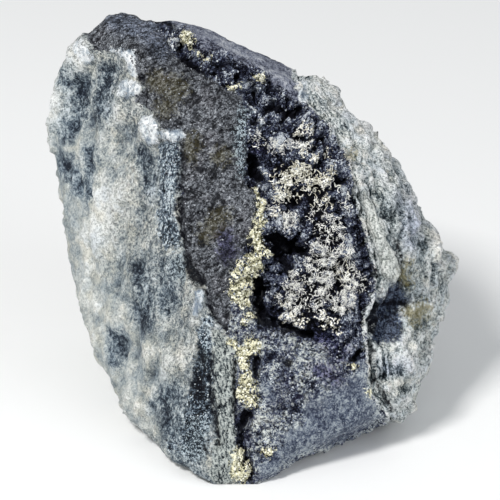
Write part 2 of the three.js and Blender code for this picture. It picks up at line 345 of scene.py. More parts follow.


# %% [markdown]
# ## Relief
# Each rock breaks in its own way. The host is schist and quartz: long blunt lumps and thin plates. The dark
# slab is fine and granular, with small pits. The open band beside it is all hollows and crests. The massive
# ore under it is granular, and the ridge above it is nearly smooth. So each band gets its own mix of noise,
# the mixes are faded into each other, and the holes, cracks and steps that matter are listed one by one.

# %% Forms listed one by one
# Each form is how far it stands up, in mm (below zero where it sinks), and its string of beads.
FORMS = {
    "quartz": [
        (0.6, [(7, 74.5, 1.2), (8, 73, 1)]),
        (1.4, [(18.5, 61.5, 1.6), (19, 59.5, 1.5)]), (1.0, [(21, 59.5, 0.9), (23.5, 59.5, 0.9)]),
        (0.5, [(12, 74, 0.4), (15.5, 73, 0.8), (16, 70, 0.7)]),
        (0.9, [(14.5, 67.5, 1.6), (16.5, 67.5, 1)]),
        (1.0, [(22, 75.5, 0.6), (22.5, 74, 0.6)]),
        (1.0, [(27, 33.5, 0.8), (26.5, 31.5, 0.8), (26, 30, 0.4)]),
        (0.1, [(43.5, 69, 0.7), (44, 66, 0.9)]), (0.5, [(35.5, 63.5, 0.6)]), (0.4, [(36.5, 61.5, 0.6)]),
    ],
    # Pale forms are the rock's own pale patches. Most of them also stand up, so their paleness is partly
    # painted light on the raised lobes.
    "pale": [
        (1.0, [(5, 73.5, 1.8), (7.5, 74, 1.8), (7, 71.5, 1)]),
        (0.9, [(27, 33.5, 1), (26.5, 31, 1.1), (25, 28, 0.9)]),
        (0.9, [(1.5, 66, 1.6), (3.5, 66.5, 1.2), (2, 63, 1.3)]), (0.5, [(13.5, 63.5, 2)]),
        (0.4, [(9.5, 70.5, 0.9), (9, 67, 0.6)]), (0.5, [(6.5, 57, 0.6), (6.5, 54, 0.9)]),
        (0.3, [(10, 52, 2), (13, 47, 3), (8, 43, 3)]), (0.3, [(6.5, 37.5, 1.5), (8.5, 31, 1.5)]),
        (0.2, [(46, 69, 1.4), (49, 67, 2), (52.5, 63.5, 2.2), (56, 60, 2), (58.5, 56.5, 1.5)]),
        # The first string on the next line runs along the top of the slab: painted light on its upward
        # face.
        (0.3, [(12.5, 79, 2.5), (17, 78, 2.5)]), (0.3, [(12, 41, 2)]),
        (0.3, [(15.5, 54, 1), (15, 50, 1.5)]),
        (0.8, [(18.5, 23.5, 1.6), (21, 22, 1.8), (24, 23.5, 0.9)]), (0.5, [(17, 15, 1), (15, 17.5, 0.8)]),
        (0.5, [(26, 26.5, 0.8), (25.5, 24, 0.6)]), (0.5, [(20, 29.5, 0.8)]),
        (0.4, [(25, 10.5, 0.2), (27, 12, 0.4), (28, 14, 0.2)]), (0.4, [(25, 13.5, 0.2), (26, 14.5, 0.3)]),
        (0.4, [(24.5, 6.5, 0.4), (25.5, 8.5, 0.2)]),
        (0.8, [(53.5, 54, 0.6), (54, 51, 0.5)]), (0.7, [(51, 64.5, 1.2)]), (0.7, [(55, 60.5, 1.3)]),
        (0.5, [(58, 56, 1)]), (0.6, [(62, 49, 0.8), (62.5, 45, 1.2), (62, 41, 1)]),
        (1.0, [(66.5, 42.5, 0.9), (67, 40, 1.5), (68.5, 38, 0.8)]), (0.6, [(61.5, 22, 1.5)]),
        (0.8, [(58.5, 38, 1), (59, 36.5, 0.8)]), (0.9, [(62.5, 19.5, 0.8)]), (0.9, [(61.5, 15.5, 1)]),
        (0.6, [(66, 33, 0.8)]), (0.6, [(57.5, 23.5, 0.6)]), (0.3, [(56.5, 34.5, 0.3), (55.5, 33, 0.3)]),
        (0.5, [(58, 17.5, 0.6), (59, 14.5, 0.5)]), (0.8, [(64, 34, 1), (66, 36, 0.8)]),
        (0.4, [(41.5, 24, 1), (43.5, 22.5, 1.3), (46, 22, 0.8)]),
        (0.4, [(40.5, 18.5, 0.9), (41, 16.5, 0.9)]),
        (0.4, [(47, 20, 0.8), (49, 19.5, 1.1)]), (0.4, [(44.5, 16, 0.8), (46.5, 15.5, 0.9)]),
        (0.4, [(37, 13, 0.8), (39, 12.5, 0.7)]), (0.4, [(54.5, 24, 0.4), (54.5, 17, 0.5)]),
    ],
    # Dark forms are dark rock and thin cracks, and partly painted shade: most of them sink, and those along
    # the lens and beside the low knobs of the right wall paint the shadows these cast.
    "dark": [
        (-0.7, [(4.5, 69.5, 0.8), (7.5, 69, 1.2)]), (-0.8, [(7, 68, 1.2), (6.5, 65.5, 0.5)]),
        (-0.6, [(5.5, 62, 0.7), (5, 59, 0.6)]), (-0.7, [(3.5, 59, 0.7)]),
        (-0.7, [(11, 71.5, 0.9), (13.5, 70.5, 0.6)]), (-0.7, [(11, 69, 0.7), (10.5, 66, 0.8)]),
        (-0.5, [(9.5, 62.5, 1.1)]), (-0.4, [(8, 57.5, 0.4), (8, 54, 0.5)]),
        (-0.5, [(6.5, 52, 0.7)]), (-0.5, [(3.5, 55.5, 0.7), (4, 53, 0.5)]),
        (-1.2, [(16.5, 62, 0.4), (15.5, 59.5, 0.4)]), (-0.8, [(13, 59, 0.5), (13.5, 57, 0.4)]),
        (-0.9, [(17, 57.5, 0.8), (18, 54.5, 0.7), (18.5, 52, 0.5)]), (-0.8, [(12.5, 35, 0.5)]),
        (-0.5, [(16, 38, 0.8), (16.5, 35, 0.7)]), (-0.6, [(18.5, 34.5, 0.4)]), (-0.6, [(9.5, 37.5, 0.4)]),
        (-0.8, [(15.5, 31.5, 0.5), (16.5, 30.5, 0.6)]), (-0.4, [(17, 29, 1), (18, 26.5, 0.9)]),
        (-0.8, [(21.5, 33, 0.8), (22.5, 32, 0.5)]), (-0.6, [(21, 30.5, 0.5)]), (-0.5, [(23.5, 28.5, 0.5)]),
        (-1.4, [(13, 25.5, 0.7), (13, 23.5, 0.5)]), (-0.5, [(12, 27, 0.8)]), (-1.2, [(18.5, 20, 0.4)]),
        (-0.7, [(16, 16.5, 0.4), (18, 15, 0.4), (19.5, 13.5, 0.6)]), (-0.5, [(21, 18.5, 0.5)]),
        (-0.6, [(45.5, 69, 0.5)]), (-0.6, [(48, 66.5, 0.7)]), (-0.5, [(51, 61.5, 0.6)]),
        (-0.5, [(55.5, 57.5, 0.5)]), (-0.5, [(53, 58, 0.5)]), (-0.4, [(59, 53.5, 0.6)]),
        (-0.5, [(57, 49.5, 1.2), (58, 47, 1.4), (58, 44, 0.9)]),
        (-0.6, [(59, 52, 0.2), (60.5, 49.5, 0.3), (60.5, 46, 0.2), (60, 42, 0.2)]),
        (-1.0, [(64, 47, 0.2), (64.5, 43, 0.3), (64, 39, 0.3), (64.5, 36, 0.5)]),
        (-0.6, [(54.5, 44, 0.2), (55, 40, 0.3), (56, 36.5, 0.3)]),
        (-0.5, [(60, 39.5, 0.3), (60.5, 36, 0.3)]),
        (-0.7, [(54.5, 60, 0.2), (57, 56.5, 0.3), (60, 53.5, 0.3)]),
        (-0.4, [(66, 38, 0.5), (67.5, 34, 0.5)]),
        (-0.5, [(61.5, 34.5, 0.2), (64, 34.5, 0.2)]), (-0.5, [(64.5, 28.5, 1.1), (63, 27, 0.5)]),
        (-0.5, [(64, 32.5, 0.6)]), (-0.5, [(67.5, 36, 0.4)]), (-0.5, [(60, 20, 0.8)]),
        (-0.5, [(57.5, 19.5, 0.5)]), (-0.5, [(60, 16.5, 0.5), (62, 17.5, 0.4)]),
        (-0.6, [(37, 22.5, 0.9), (38.5, 23, 0.7)]), (-0.6, [(42.5, 14, 0.8)]), (-0.6, [(42.5, 16.5, 0.7)]),
        (-0.6, [(44.5, 19, 0.6), (45.5, 18, 0.4)]), (-0.6, [(40, 21, 0.4)]), (-0.5, [(40.5, 14.5, 0.4)]),
        (-0.3, [(10, 28.5, 0.2), (12.5, 26.5, 0.2)]), (-0.3, [(11, 34, 0.2), (15, 32, 0.3)]),
        (-0.4, [(15.5, 22.5, 0.15), (18, 25, 0.15), (21, 26.5, 0.15), (23, 28, 0.2)]),
        (-0.3, [(17, 47.5, 0.15), (15, 46, 0.15)]), (-0.3, [(10, 51.5, 0.15), (11.5, 52, 0.15)]),
        (-0.5, [(28, 52.5, 0.2), (25.5, 50, 0.15)]), (-0.5, [(26.5, 54.5, 0.15), (25, 53, 0.15)]),
        (-0.4, [(28.5, 38, 0.3), (30, 39, 0.2), (32.5, 38, 0.3)]),
        (-0.3, [(29, 17, 0.2), (32.5, 18.5, 0.15)]), (-0.3, [(29.5, 20, 0.2), (32, 22.5, 0.15)]),
        (-0.3, [(30, 14.5, 0.2), (32.5, 16, 0.15)]), (-0.3, [(27.5, 24, 1), (27, 20, 1.5), (26.5, 16, 1)]),
        (-0.3, [(26.5, 14, 1.2), (25.5, 10, 1.5)]), (-0.3, [(21, 16, 0.8), (20, 12, 0.8)]),
    ],
    "blue": [
        (0, [(13, 79, 2), (17.5, 78, 2.5), (20.5, 73.5, 1.5)]),
        (-0.2, [(4, 70.5, 2), (6.5, 67.5, 2.5), (4, 61.5, 2.5)]), (-0.3, [(3.5, 55.5, 2), (6, 51.5, 1.8)]),
        (-0.2, [(8, 57, 1.4), (8, 50, 1.2)]), (-0.2, [(11, 70, 1.6), (10.5, 64, 1.8)]),
        (-0.4, [(17.5, 56, 1.5), (18.5, 50.5, 1)]), (-0.3, [(17, 37, 1.5), (17.5, 30, 2)]),
        (-0.3, [(21.5, 38, 1.8), (21.5, 32, 1.8)]), (-0.3, [(12.5, 26, 1.5), (12, 22, 1.2)]),
        (-0.3, [(20, 15.5, 1.2), (22.5, 17, 1.5), (23, 10.5, 2.3)]), (-0.2, [(57, 21, 1), (60, 21, 1.2)]),
        (-0.2, [(60.5, 50, 1.2), (62, 46, 1.6), (62, 42, 1.6)]), (-0.2, [(24, 6, 2), (27, 3, 1.5)]),
    ],
    "mica": [
        (0, [(22, 57.5, 1.9), (22, 52, 1.9), (21.5, 46, 1.7), (22, 42, 1.2)]),
        (-0.5, [(27.5, 27, 1), (27.5, 23, 1.7), (27, 18, 2), (26.5, 13, 2.3), (25.5, 8.5, 1.8)]),
        (-0.3, [(28.5, 29, 0.9)]), (-0.2, [(22, 8, 1)]),
    ],
    # Recesses sink and are painted dark navy. This is partly dark rock and partly painted shadow, most of
    # all in the big one under the nose of the lens.
    "recess": [
        (-1.4, [(58, 31.5, 1.9), (59.5, 33, 1.8), (61, 32, 1)]), (-0.8, [(60, 35, 0.5)]),
        (-1.0, [(57, 29.5, 2), (58.5, 29, 2)]), (-0.5, [(57, 27, 1.8), (59, 27, 1.6)]),
        (-0.3, [(20.5, 78.5, 1.2)]),
    ],
    "lens": [(1.8, [(54, 50, 0.3), (55, 47.5, 0.9), (55.5, 45, 1), (56.5, 42.5, 1), (57.5, 40, 1.4),
                    (58.5, 37.5, 1.8)])],
    # Violet patches tint and darken the rock. The first string on the next line is painted shade on a
    # shadowed patch of the massive ore.
    "violet": [
        (-0.2, [(46.5, 26, 1), (49, 25, 1.6), (51, 23, 1)]), (0, [(46, 21, 1), (49, 19.5, 1)]),
        (0, [(31, 43, 1.2), (31.5, 40, 1.5)]), (0, [(41.5, 34.5, 1)]), (0, [(36.5, 57.5, 1)]),
    ],
    "facet": [
        (0.2, [(38, 4.5, 2), (40, 7, 2), (44.5, 10, 3), (48.5, 12.5, 5), (52, 14.5, 4.5),
               (53.5, 20, 1.2), (53.5, 23, 0.8)]),
        (0.1, [(38, 19, 1), (38.5, 16.5, 1.2)]),
    ],
    "olive": [
        (-0.4, [(61.5, 38, 0.7), (61, 36.5, 0.9), (61.5, 35, 0.5)]),
        (-0.3, [(61.5, 30.5, 0.7), (63, 29.5, 1.3), (64, 31, 0.8)]),
        (0, [(21.5, 64, 1.6)]),
        (0, [(25.5, 58.5, 1.5), (25.5, 56, 1)]), (0, [(28, 43.5, 1.5), (30.5, 46, 1.5)]),
        (0, [(19.5, 68.5, 1.5), (23, 67, 2)]), (0, [(30.5, 56, 1.5)]), (0, [(51.5, 56, 0.8)]),
    ],
    "frost": [
        (0, [(34, 63.5, 0.8), (33.5, 58, 1), (34, 53, 0.6)]), (0, [(26.5, 12, 1.2), (26.5, 8, 2)]),
        (0, [(27.5, 24.5, 0.7), (27, 22, 0.5)]), (0, [(23.5, 39.5, 0.7), (23.5, 36.5, 0.8)]),
    ],
    "crust": [
        (0.4, [(52, 21.5, 0.6)]),
        (0.7, [(36, 50.5, 0.3), (37, 48.5, 0.7), (36.5, 45, 0.6), (36, 43, 0.9), (37, 40.5, 1)]),
        (0.9, [(35.5, 38, 1.8), (34.5, 36.5, 2.2), (33.5, 34, 1.8), (34, 32, 1)]),
        (0.6, [(34, 29, 0.4), (35.5, 30, 0.5)]),
        (0.8, [(35.5, 25, 1.4), (34, 24, 0.9), (32, 25.5, 0.4)]),
        (0.5, [(34, 22.5, 0.9), (34.5, 20.5, 0.6)]),
        (0.9, [(34.5, 19, 1.4), (34.5, 17, 1.6), (35.5, 15.5, 0.9)]),
        (0.7, [(33, 7, 1), (33.5, 4.5, 1.7), (34, 2.5, 0.9)]), (0.4, [(38, 7.5, 0.8)]),
        (0.6, [(24, 76.5, 0.8), (25, 75.5, 0.6)]), (0.5, [(26.5, 73.5, 0.4)]), (0.5, [(28, 72.5, 0.4)]),
        (0.6, [(32.5, 67.5, 0.5)]), (0.4, [(36, 69, 0.5), (37, 69, 0.5)]), (0.3, [(55, 17, 0.4)]),
    ],
    # Deep cavities, gaps and gullies, sunk and painted very dark: painted shadow in the hollows. In a few
    # small spots in the mica, this is also the darkest rock.
    "black": [
        (-2.6, [(38.5, 43, 0.8), (40.5, 41.5, 1.7), (43, 41, 1.1)]),
        (-1.6, [(40.5, 39, 1), (41.5, 37.5, 0.9)]),
        (-2.3, [(36.5, 34.5, 1.1), (36.5, 31.5, 1), (37, 29.5, 1.2), (39.5, 28.5, 0.8), (41.5, 27.5, 0.8),
                (44.5, 26.5, 0.9)]),
        (-1.7, [(19.5, 79, 0.8), (22, 77.5, 0.7)]), (-1.7, [(23.5, 74.5, 0.8), (23, 73, 0.5)]),
        (-1.7, [(24, 72.5, 0.6), (25.5, 71, 0.8), (27, 70, 0.7), (29, 69.5, 0.5)]),
        (-1.2, [(29, 71.5, 0.4), (31, 71, 0.4)]), (-1, [(33, 69.5, 0.4)]), (-1.4, [(34.5, 68, 0.7)]),
        (-1.2, [(35.5, 66.5, 0.5)]), (-1, [(38, 67.5, 0.4)]), (-1, [(41, 65.5, 0.4)]),
        (-2.2, [(35.5, 55, 1.1), (36.5, 52, 0.8)]), (-1.5, [(35.5, 61.5, 0.8)]),
        (-1.6, [(38.5, 64, 0.9), (41.5, 63, 1.1), (43.5, 64, 0.6)]),
        (-1.8, [(42.5, 59, 0.6), (44.5, 58.5, 0.9)]),
        (-1.4, [(47, 59, 0.7)]), (-1.2, [(47.5, 57, 0.5)]), (-1.3, [(41.5, 53.5, 0.6)]),
        (-1.3, [(43.5, 53, 0.5)]), (-1.5, [(45.5, 51, 0.7), (47, 50.5, 0.5)]),
        (-1.4, [(49, 52, 0.7), (50.5, 51.5, 0.6)]),
        (-1.3, [(48.5, 48.5, 0.7)]), (-1.2, [(45.5, 48, 0.5)]), (-1.2, [(41, 49, 0.4), (42.5, 48.5, 0.4)]),
        (-1.2, [(43.5, 45.5, 0.4)]), (-1.3, [(46, 35, 0.8), (47, 34.5, 0.5)]), (-1.2, [(40, 33.5, 0.5)]),
        (-1.2, [(36, 22.5, 0.7), (36, 20, 0.4)]),
        (-1.4, [(34.5, 13.5, 0.9), (33.5, 11.5, 0.7), (33.5, 9, 0.5)]),
        (-1.4, [(34, 8, 0.4), (34.5, 6, 0.5), (35.5, 4, 0.5), (35, 2.5, 0.5)]),
        (-1, [(41.5, 22, 0.6)]), (-1, [(27, 46.5, 0.5)]),
        (-0.9, [(17.5, 69, 0.6)]), (-0.8, [(52, 22.5, 0.6)]),
        (-1.0, [(24, 49, 0.3), (24, 45, 0.4), (24.5, 42.5, 0.4), (24.5, 39.5, 0.5), (25.5, 37, 0.9),
                (27, 35.5, 1)]),
        (-0.7, [(28, 34.5, 0.3), (29, 30, 0.3), (31, 27.5, 0.2)]), (-0.5, [(24, 58.5, 0.2), (24, 50, 0.2)]),
        (-0.8, [(29, 24, 0.3), (28.5, 19, 0.4), (29.5, 13, 0.3), (30, 8, 0.2)]),
        (-0.4, [(26.5, 24.5, 0.4), (27, 22.5, 0.5)]), (-0.4, [(26, 19.5, 0.6), (27, 17.5, 0.8)]),
        (-0.4, [(28.5, 16, 0.6), (28.5, 15, 0.4)]), (-0.4, [(25.5, 15.5, 0.4)]), (-0.4, [(27.5, 8, 0.4)]),
        (-1, [(32.5, 22, 0.3), (32.5, 13, 0.3)]),
        (-0.8, [(56, 31.5, 0.3), (55.5, 29.5, 0.5), (55.5, 27, 0.4)]),
        (-0.6, [(57, 31.5, 0.4), (59, 32, 0.4), (61, 31.5, 0.3)]),
        (-1.0, [(55, 25.5, 0.2), (55, 22, 0.2), (55.5, 19.5, 0.3), (57, 17, 0.2), (58.5, 14, 0.2)]),
        (-0.9, [(55, 38, 0.2), (56, 36, 0.2)]), (-0.8, [(59.5, 42, 0.2), (60, 39.5, 0.2), (60.5, 37, 0.3)]),
    ],
    "grey": [
        (0.5, [(40, 45.5, 1.3), (43, 45, 1.2), (44.5, 44, 0.7)]), (0.4, [(48.5, 55, 1.2), (50, 53.5, 1.1)]),
        (0.4, [(51, 49.5, 1.3), (51.5, 46, 1.1)]), (0.3, [(52, 43, 1.3), (52.5, 39.5, 1)]),
        (0.3, [(51.5, 30.5, 1.6)]), (0.9, [(51.5, 28, 1.8), (53, 26, 1)]),
        (0.5, [(38, 32.5, 1.1)]), (0.4, [(48, 25.5, 1.5), (51, 24.5, 1.6)]),
        (0.4, [(38, 50.5, 1.2), (38.5, 47, 0.8)]), (0.3, [(38, 59, 1.2), (40.5, 58.5, 0.9)]),
        (0.3, [(41.5, 39.5, 0.7), (43, 38, 0.8)]), (0.5, [(27.5, 71.5, 0.9)]), (0.4, [(25.5, 73.5, 0.7)]),
        (0.3, [(31, 69.5, 0.5)]), (0.4, [(37, 65.5, 0.6)]), (0.3, [(39.5, 66.5, 0.6)]),
    ],
    "curls": [
        (0, [(39.5, 53.5, 1.5), (42.5, 53, 2.2), (46, 52, 2)]), (0, [(40, 51, 1.3), (44, 51, 1.4)]),
        (0, [(40, 49.5, 1.2), (43.5, 49.5, 1.4), (46.5, 49.5, 1.2), (48.5, 47.5, 0.8)]),
        (0, [(47.5, 52.5, 1), (49, 51, 0.7)]), (0, [(50.5, 37, 1.6)]),
    ],
    "hairs": [
        (0, [(46.5, 46.5, 1.5), (48, 43, 2.6), (48, 39.5, 3.2), (47, 35.5, 3.8), (44, 33.5, 3.4)]),
        (0, [(51.5, 36, 2.4), (53.5, 35, 1.2)]), (0, [(50, 32.5, 2.2)]), (0, [(41.5, 33, 1.4)]),
        (0, [(45.5, 31, 1.5)]), (0, [(41.5, 45.5, 1.2)]), (0, [(51, 48.5, 1)]),
        (0, [(36.5, 59, 1), (38.5, 57.5, 1)]), (0, [(43.5, 58, 1.4)]), (0, [(38.5, 47.5, 0.9)]),
        (0, [(41, 57, 1)]),
    ],
    "tufts": [
        (0.9, [(43.5, 57.5, 0.9), (44, 56.5, 0.6)]), (0.7, [(43.5, 60.5, 0.8), (45, 60.5, 0.5)]),
        (0.6, [(45.5, 55.5, 0.7)]), (0.6, [(47, 52, 0.7)]), (0.6, [(39.5, 48.5, 0.7), (39.5, 47, 0.7)]),
        (0.6, [(41.5, 51.5, 0.6)]), (0.5, [(45.5, 58, 0.5)]), (0.5, [(48, 56.5, 0.4)]),
        (0.6, [(41, 29.5, 0.8), (42, 30, 0.9), (44.5, 28.5, 0.7)]), (0.4, [(47, 30, 0.7)]),
        (0.5, [(47, 28, 0.6), (49.5, 27.5, 0.7)]), (0.5, [(39.5, 33, 0.5), (40.5, 32, 0.5)]),
        (0.4, [(51, 36.5, 0.8)]), (0.5, [(46.5, 29.5, 0.8), (49, 28.5, 0.8)]), (0.4, [(48.5, 56.5, 0.5)]),
    ],
}
SOFTNESS = {"quartz": 0.4, "facet": 1.0, "pale": 0.8, "dark": 0.9, "blue": 1.5, "recess": 1.0, "grey": 0.5}
WEDGE = [(29.5, 27, 0.6), (31, 23, 1.9), (30.5, 19, 2.2), (31, 14.5, 1.2), (31, 9, 1.5), (30.5, 4, 2)]
print("strings of beads:", sum(len(forms) for forms in FORMS.values()))

# %% Shares of the bands
# The open band and the marks of the front fade out between these two places, in mm out.
FRONT_FADE = (-17, -12)
jitter = 0.6 * field(1.6, seed=1) + 0.5 * field(0.7, seed=2)
host = 1 - ease(beside(HOST_LINE, across, up) + 0.3 * jitter, -0.3, 0.3)
right = ease(beside(VEIN_LINE, across, up) + 0.3 * jitter, -0.3, 0.4)
slab = (1 - host) * (1 - ease(beside(SLAB_LINE, across, up) + 0.3 * jitter, -0.35, 0.35))
vein = (1 - host) * (1 - right) * (1 - slab)
ridge = vein * ease(above(RIDGE_LINE, across, up) + 0.4 * jitter, -0.4, 0.6)
massive = vein * (1 - ease(above(GULLY_LINE, across, up) + 0.4 * jitter, -0.5, 0.5))
band = np.clip(vein - ridge - massive, 0, 1) * ease(out, *FRONT_FADE)
wedge = ease(within(WEDGE, across, up) + 0.3 * jitter, -0.4, 0.2)

# %% Relief of the host rock
host_relief = (
    1.1 * chips(6.0, stretch=(1, 2.2, 1), seed=27) + 0.7 * field(3.2, stretch=(1, 2.4, 1), seed=3)
    + 0.5 * field(1.5, stretch=(1, 1.8, 1), seed=4)
    + 0.25 * knobs(0.9, stretch=(1, 1.5, 1), seed=5) - 0.15)
host_relief += 0.9 * ease(up, 55, 64) * ease(across, 10, 4)
from_slab = np.maximum(-beside(HOST_LINE, across, up), 0)
host_relief += 0.7 * np.exp(-from_slab / 3.0) * ease(up, 42, 48)

# %% Relief of the right wall
plates = beside(VEIN_LINE, across, up)
warp = 0.5 * field(6.0, stretch=(1, 2, 1), seed=6) + 0.3 * field(1.8, stretch=(1, 2, 1), seed=28)
strands = np.abs(np.sin(math.pi * (plates / 1.1 + warp)))
strand_share = (1 - ease(plates, 3, 7)) * ease(field(2.5, stretch=(1, 3, 1), seed=9), -0.3, 0.2)
rim = np.exp(-((plates - 0.3) / 0.35) ** 2) * ease(field(2.0, seed=34), -0.05, 0.25)
right_relief = (0.6 * (strands - 0.6) * strand_share + 0.6 * rim
                - 0.5 * np.exp(-((plates - 1.1) / 0.35) ** 2)
                + 1.7 * chips(4.2, stretch=(1, 1.6, 1), seed=29) + 0.8 * knobs(2.8, seed=7)
                + 0.2 * field(1.0, seed=8) - 0.45)
lens = ease(within(FORMS["lens"][0][1], across, up) + 0.3 * jitter, -0.4, 0.4)
right_relief = right_relief * (1 - 0.75 * lens)

# %% Relief of the slab
creases = 1 - ease(knobs(1.4, stretch=(1.6, 1, 1), seed=35, turn=35), 0.02, 0.16)
creases *= ease(field(1.9, seed=36), 0.0, 0.25)
pocks = ease(field(0.8, stretch=(1.6, 1, 1), seed=12, turn=35), 0.2, 0.34)
pocks *= ease(field(2.6, seed=37), -0.2, 0.2)
hollows = np.maximum(creases, pocks)
slab_relief = (0.35 * field(5.0, seed=10) + 0.4 * chips(2.6, seed=30) + 0.3 * field(1.4, seed=11)
               - 0.5 * hollows + 0.15 * field(0.6, seed=13) + 0.1)

# %% Relief of the vein
band_relief = (0.8 * field(4.5, seed=14) + 1.9 * knobs(2.7, seed=15) + 0.9 * knobs(1.15, seed=16)
               + 0.45 * knobs(0.55, seed=17) - 1.6)
flat = np.maximum(*[within(string, across, up) for _, string in FORMS["facet"]])
facet = ease(flat + 1.2 * jitter, -1.2, 1.5)
massive_relief = (0.9 * chips(3.4, stretch=(1.6, 1, 1), seed=31) + 0.5 * knobs(2.2, seed=18)
                  + ease(front, 0.4, 1.0) * (0.9 * chips(1.1, seed=19) + 0.3 * knobs(0.5, seed=20))
                  - 0.4) * (1 - 0.8 * facet)
ridge_relief = (0.3 * field(3.5, stretch=(2, 1, 1), seed=22) + 0.2 * field(1.1, seed=23)
                - 0.3 * ease(field(1.0, seed=32), 0.2, 0.5))
wedge_relief = (0.5 * ridges(1.0, stretch=(1, 3.5, 1), seed=24, turn=-12) + 0.3 * field(1.6, seed=25)
                + 0.25 * knobs(0.7, seed=33) - 0.1)

# %% The whole relief
relief = (host * host_relief + right * right_relief + slab * slab_relief + band * band_relief
          + massive * massive_relief + ridge * ridge_relief)
relief = relief * (1 - front * wedge) + front * wedge * wedge_relief
lift = relief + 0.35 * slab + 0.2 * massive + 0.3 * ridge + 0.45 * field(7.0, seed=26)
print("relief, mm:", round(lift.min(), 2), "to", round(lift.max(), 2))

# %% Laying on the forms
# The depth inside or outside a form is followed only this far, in mm, and a border is this soft, in mm,
# unless SOFTNESS says otherwise.
REACH = 1.5
USUAL_SOFTNESS = 0.35
rise_out = np.zeros(count)
depths = {kind: np.full(count, -REACH) for kind in FORMS}
for kind, forms in FORMS.items():
    soft = SOFTNESS.get(kind, USUAL_SOFTNESS)
    for rise, string in forms:
        deep = within(string, across, up)
        depths[kind] = np.maximum(depths[kind], np.minimum(deep, REACH))
        rise_out += front * rise * ease(deep + soft * jitter, -soft, soft)
print("forms, mm:", round(rise_out.min(), 2), "to", round(rise_out.max(), 2))

# %% Moving the skin
# The foot stays flat: nothing moves up to 0.2 mm over the floor, and everything moves freely from 2 mm on.
off_floor = ease(places[:, 2] / MM, 0.2, 2.0)[:, None]
places += (normals * lift[:, None] + OUT * rise_out[:, None]) * off_floor * MM
places[:, 2] = np.maximum(places[:, 2], 0)
stone.data.vertices.foreach_set("co", places.ravel())
stone.data.update()
for polygon in stone.data.polygons:
    polygon.use_smooth = True

# %% Marks for the materials
def keep(name, values):
    """Keeps one number at every point of the skin, under a name that a material can read."""
    stone.data.attributes.new(name, "FLOAT", "POINT").data.foreach_set("value", values.astype(np.float32))


for name, line in (("past_host", HOST_LINE), ("past_slab", SLAB_LINE), ("past_vein", VEIN_LINE)):
    keep(name, beside(line, across, up))
for name, line in (("over_gully", GULLY_LINE), ("over_ridge", RIDGE_LINE)):
    keep(name, above(line, across, up))
keep("wedge", wedge)
keep("front", front * ease(out, *FRONT_FADE))
# The relief is kept for the material, which uses it to paint light on the crests and shade in the hollows.
keep("relief", relief)
# Pale forms lighten and dark forms darken every rock's tone. This is the rock's own pale and dark patches,
# together with painted light on raised forms and painted shade on sunken ones.
keep("shade", front * (0.6 * ease(depths["pale"] + 1.2 * jitter, -1.2, 1.4)
                       - ease(depths["dark"] + 0.8 * jitter, -0.8, 0.7)))
keep("blue", front * ease(depths["blue"] + 0.8 * jitter, -1.4, 1.2))
keep("strand", right * (strand_share * (strands - 0.55) + 0.7 * rim))
# The slab's creases and pocks are kept for the material, which sinks them by its bump and paints them very
# dark as shade.
keep("hollow", slab * hollows)
keep("facet", front * facet)
keep("lens", front * lens)
# Where the wire clumps grow. The band is painted darker there as painted shade under the wires, and fewer
# ore grains grow there.
nest = ease(np.maximum(depths["curls"], depths["hairs"]) + 0.3 * jitter, -0.3, 0.4)
keep("nest", front * nest)
keep("leaf", 0.95 * across + 0.3 * up)
for kind in ("quartz", "mica", "recess", "olive", "frost", "crust", "black", "grey", "violet"):
    keep(kind, depths[kind] - REACH * (front < 0.05))
print("attributes on the skin:", len(stone.data.attributes))

# %% [markdown]
# ## Writing materials as sums
# A shader is a sum of simple maps, so it reads best as one. `Signal` wraps one output of a node and knows
# arithmetic: an expression on signals adds the Math nodes for it. `Finish` owns a material, adds any other
# node, and keeps the few mixtures that every rock here needs.

# %% Signals and finishes
def paint(red, green, blue):
    """A colour as it is picked on a screen, 0 to 255, as the linear colour a shader wants."""
    shares = [channel / 255 for channel in (red, green, blue)]
    return (*(((s + 0.055) / 1.055) ** 2.4 if s > 0.04045 else s / 12.92 for s in shares), 1)


class Signal:
    """One output socket of a material's nodes."""

    def __init__(self, finish, socket):
        self.finish = finish
        self.socket = socket

    def __add__(self, other):
        return self.finish.maths("ADD", self, other)

    def __sub__(self, other):
        return self.finish.maths("SUBTRACT", self, other)

    def __rsub__(self, other):
        return self.finish.maths("SUBTRACT", other, self)

    def __mul__(self, other):
        return self.finish.maths("MULTIPLY", self, other)

    __radd__ = __add__
    __rmul__ = __mul__


